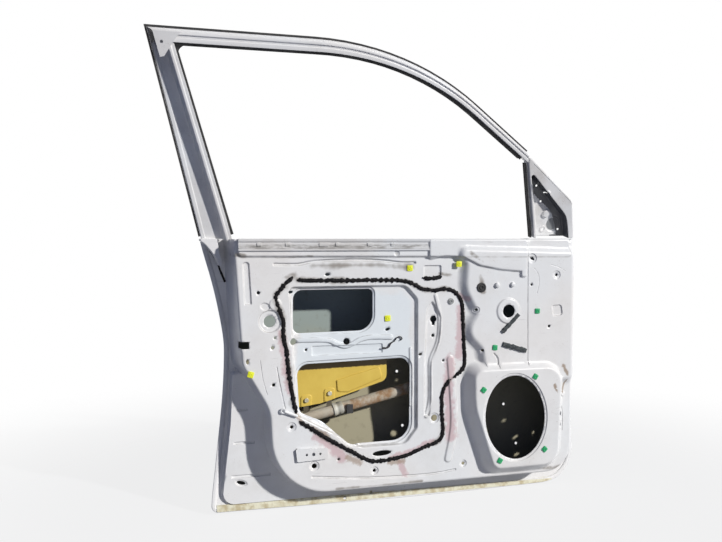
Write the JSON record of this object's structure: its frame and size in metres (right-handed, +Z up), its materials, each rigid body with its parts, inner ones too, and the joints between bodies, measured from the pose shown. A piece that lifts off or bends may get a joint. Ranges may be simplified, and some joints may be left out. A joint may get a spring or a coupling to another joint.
{
  "type": "car door shell",
  "caption": "Stripped front door shell of a car: outer skin, pressed inner panel with service and speaker openings, sash window frame, mirror triangle and impact tube.",
  "frame": {"origin": "middle of the upper hinge face on the front wall of the inner panel", "axes": "+X forward to the hinges, +Y outward to the outer skin, +Z up"},
  "size_m": [1.1322, 0.1993, 1.1194],
  "materials": {
    "white_paint": "gloss white body paint, dusty",
    "grey_paint": "grey primer",
    "black_paint": "satin black",
    "rubber": "matt black",
    "butyl": "ragged sealing bead",
    "foam": "closed cell foam",
    "sealer": "yellowed seam sealer",
    "rusty_steel": "rusty tube",
    "zinc": "dull zinc plating",
    "yellow_steel": "yellow passivated sheet",
    "yellow_plastic": "moulded clip",
    "green_plastic": "moulded clip"
  },
  "bodies": {
    "root": {"outer_skin": "white_paint", "inner_panel": "white_paint", "upper_sash_rail": "white_paint", "rear_sash": "white_paint", "corner_gusset": "white_paint", "mirror_bracket": "white_paint", "belt_inner_rail": "white_paint", "belt_outer_rail": "white_paint", "sash_foot": "white_paint", "sail_base": "white_paint", "pull_bracket": "white_paint", "hinge_reinforcement_upper": "grey_paint", "hinge_reinforcement_lower": "grey_paint", "tube_rear_bracket": "grey_paint", "tube_front_bracket": "grey_paint", "plate_strap_1": "grey_paint", "plate_strap_2": "grey_paint", "stub_pin": "grey_paint", "grommet_grey": "grey_paint", "division_bar": "black_paint", "corner_cap": "black_paint", "tube_lug": "black_paint", "wire_clip": "black_paint", "glass_run": "rubber", "frame_edge_seal": "rubber", "grommet_black": "rubber", "shut_strip": "rubber", "bead_rear": "butyl", "bead_front": "butyl", "foam_strip_upper": "foam", "foam_strip_lower": "foam", "hem_sealer": "sealer", "impact_tube": "rusty_steel", "tube_sleeve": "zinc", "plate_screw_1": "zinc", "plate_screw_2": "zinc", "yellow_plate": "yellow_steel", "clip_yellow_1": "yellow_plastic", "clip_yellow_2": "yellow_plastic", "clip_yellow_3": "yellow_plastic", "clip_yellow_4": "yellow_plastic", "clip_green_1": "green_plastic", "clip_green_2": "green_plastic", "clip_green_3": "green_plastic", "clip_green_4": "green_plastic", "clip_green_5": "green_plastic", "clip_green_6": "green_plastic"}
  },
  "joints": []
}
